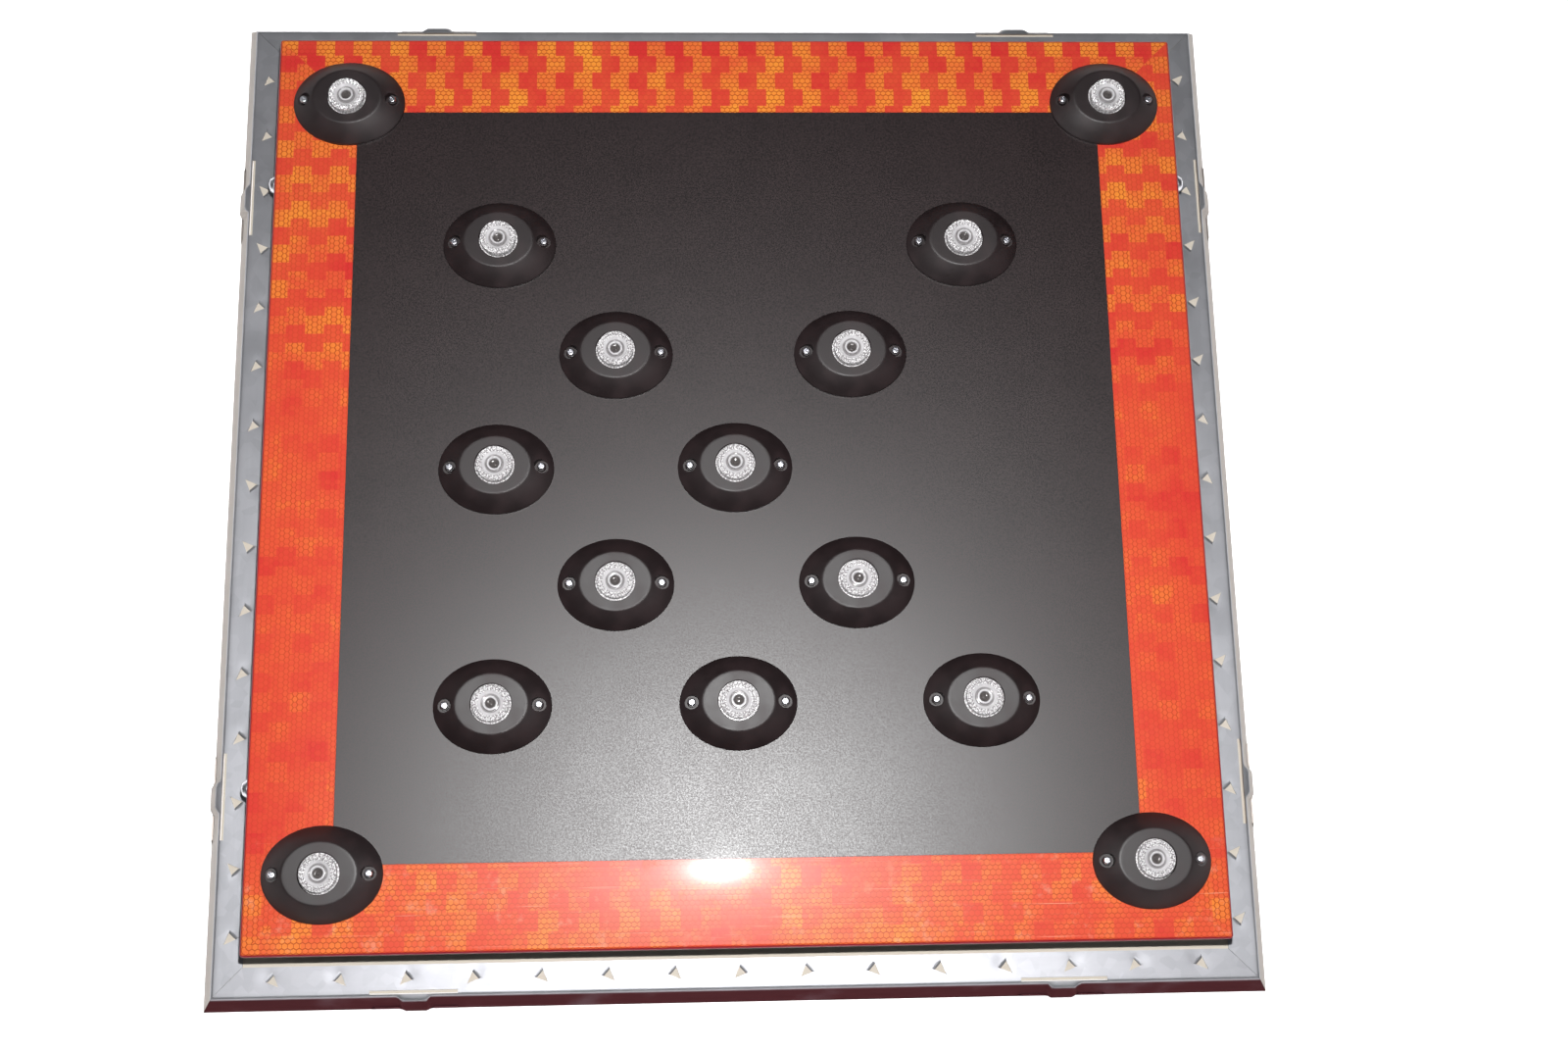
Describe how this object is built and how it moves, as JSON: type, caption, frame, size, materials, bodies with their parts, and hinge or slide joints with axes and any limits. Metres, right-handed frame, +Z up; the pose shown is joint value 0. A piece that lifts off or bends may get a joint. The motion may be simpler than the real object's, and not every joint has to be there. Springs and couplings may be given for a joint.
{
  "type": "led arrow warning board",
  "caption": "Square LED arrow warning board with a reflective border and oval lamps, lying on the steel-edged plywood board of its crate.",
  "frame": {"origin": "under the middle of the base board, on the surface that it lies on", "axes": "+Z up, out of the sign's face; +Y towards the top of the sign; +X to the right as it is read"},
  "size_m": [0.998, 0.998, 0.1014],
  "materials": {
    "galvanised_steel": "dull galvanised sheet",
    "plywood": "pale, unfinished",
    "tray_paint": "satin black",
    "border_film": "orange-red honeycomb reflective film",
    "centre_film": "matt black film",
    "lamp_plastic": "fine matt moulding",
    "lens_clear": "clear, faceted",
    "aluminium": "mill finish",
    "stainless": "bright",
    "control_plastic": "moulded grey",
    "circuit_board": "green solder mask",
    "cable_black": "matt"
  },
  "bodies": {
    "base_board": {"edge_rail_bottom": "galvanised_steel", "edge_rail_right": "galvanised_steel", "edge_rail_top": "galvanised_steel", "edge_rail_left": "galvanised_steel", "plywood_board": "plywood"},
    "sign": {"face_tray": "tray_paint", "border_film": "border_film", "centre_film": "centre_film", "back_cover": "aluminium", "side_screw_1": "stainless", "side_screw_2": "stainless", "side_screw_3": "stainless", "stiffener_upper": "aluminium", "stiffener_lower": "aluminium", "mounting_rail_upper": "aluminium", "mounting_rail_lower": "aluminium", "wiring_loom": "cable_black", "control_unit_case": "control_plastic", "control_circuit_board": "circuit_board", "control_unit_lid": "control_plastic", "cable_gland": "lamp_plastic", "gland_locknut": "lamp_plastic", "lamp_housing_01": "lamp_plastic", "lamp_housing_02": "lamp_plastic", "lamp_housing_03": "lamp_plastic", "lamp_housing_04": "lamp_plastic", "lamp_housing_05": "lamp_plastic", "lamp_housing_06": "lamp_plastic", "lamp_housing_07": "lamp_plastic", "lamp_housing_08": "lamp_plastic", "lamp_housing_09": "lamp_plastic", "lamp_housing_10": "lamp_plastic", "lamp_housing_11": "lamp_plastic", "lamp_housing_12": "lamp_plastic", "lamp_housing_13": "lamp_plastic", "lamp_housing_14": "lamp_plastic", "lamp_housing_15": "lamp_plastic", "lamp_lens_01": "lens_clear", "lamp_lens_02": "lens_clear", "lamp_lens_03": "lens_clear", "lamp_lens_04": "lens_clear", "lamp_lens_05": "lens_clear", "lamp_lens_06": "lens_clear", "lamp_lens_07": "lens_clear", "lamp_lens_08": "lens_clear", "lamp_lens_09": "lens_clear", "lamp_lens_10": "lens_clear", "lamp_lens_11": "lens_clear", "lamp_lens_12": "lens_clear", "lamp_lens_13": "lens_clear", "lamp_lens_14": "lens_clear", "lamp_lens_15": "lens_clear"}
  },
  "joints": [
    {"name": "sign_lift", "type": "slide", "parent": "base_board", "child": "sign", "axis": [0, 0, 1], "range_m": [0, 0.15]}
  ]
}
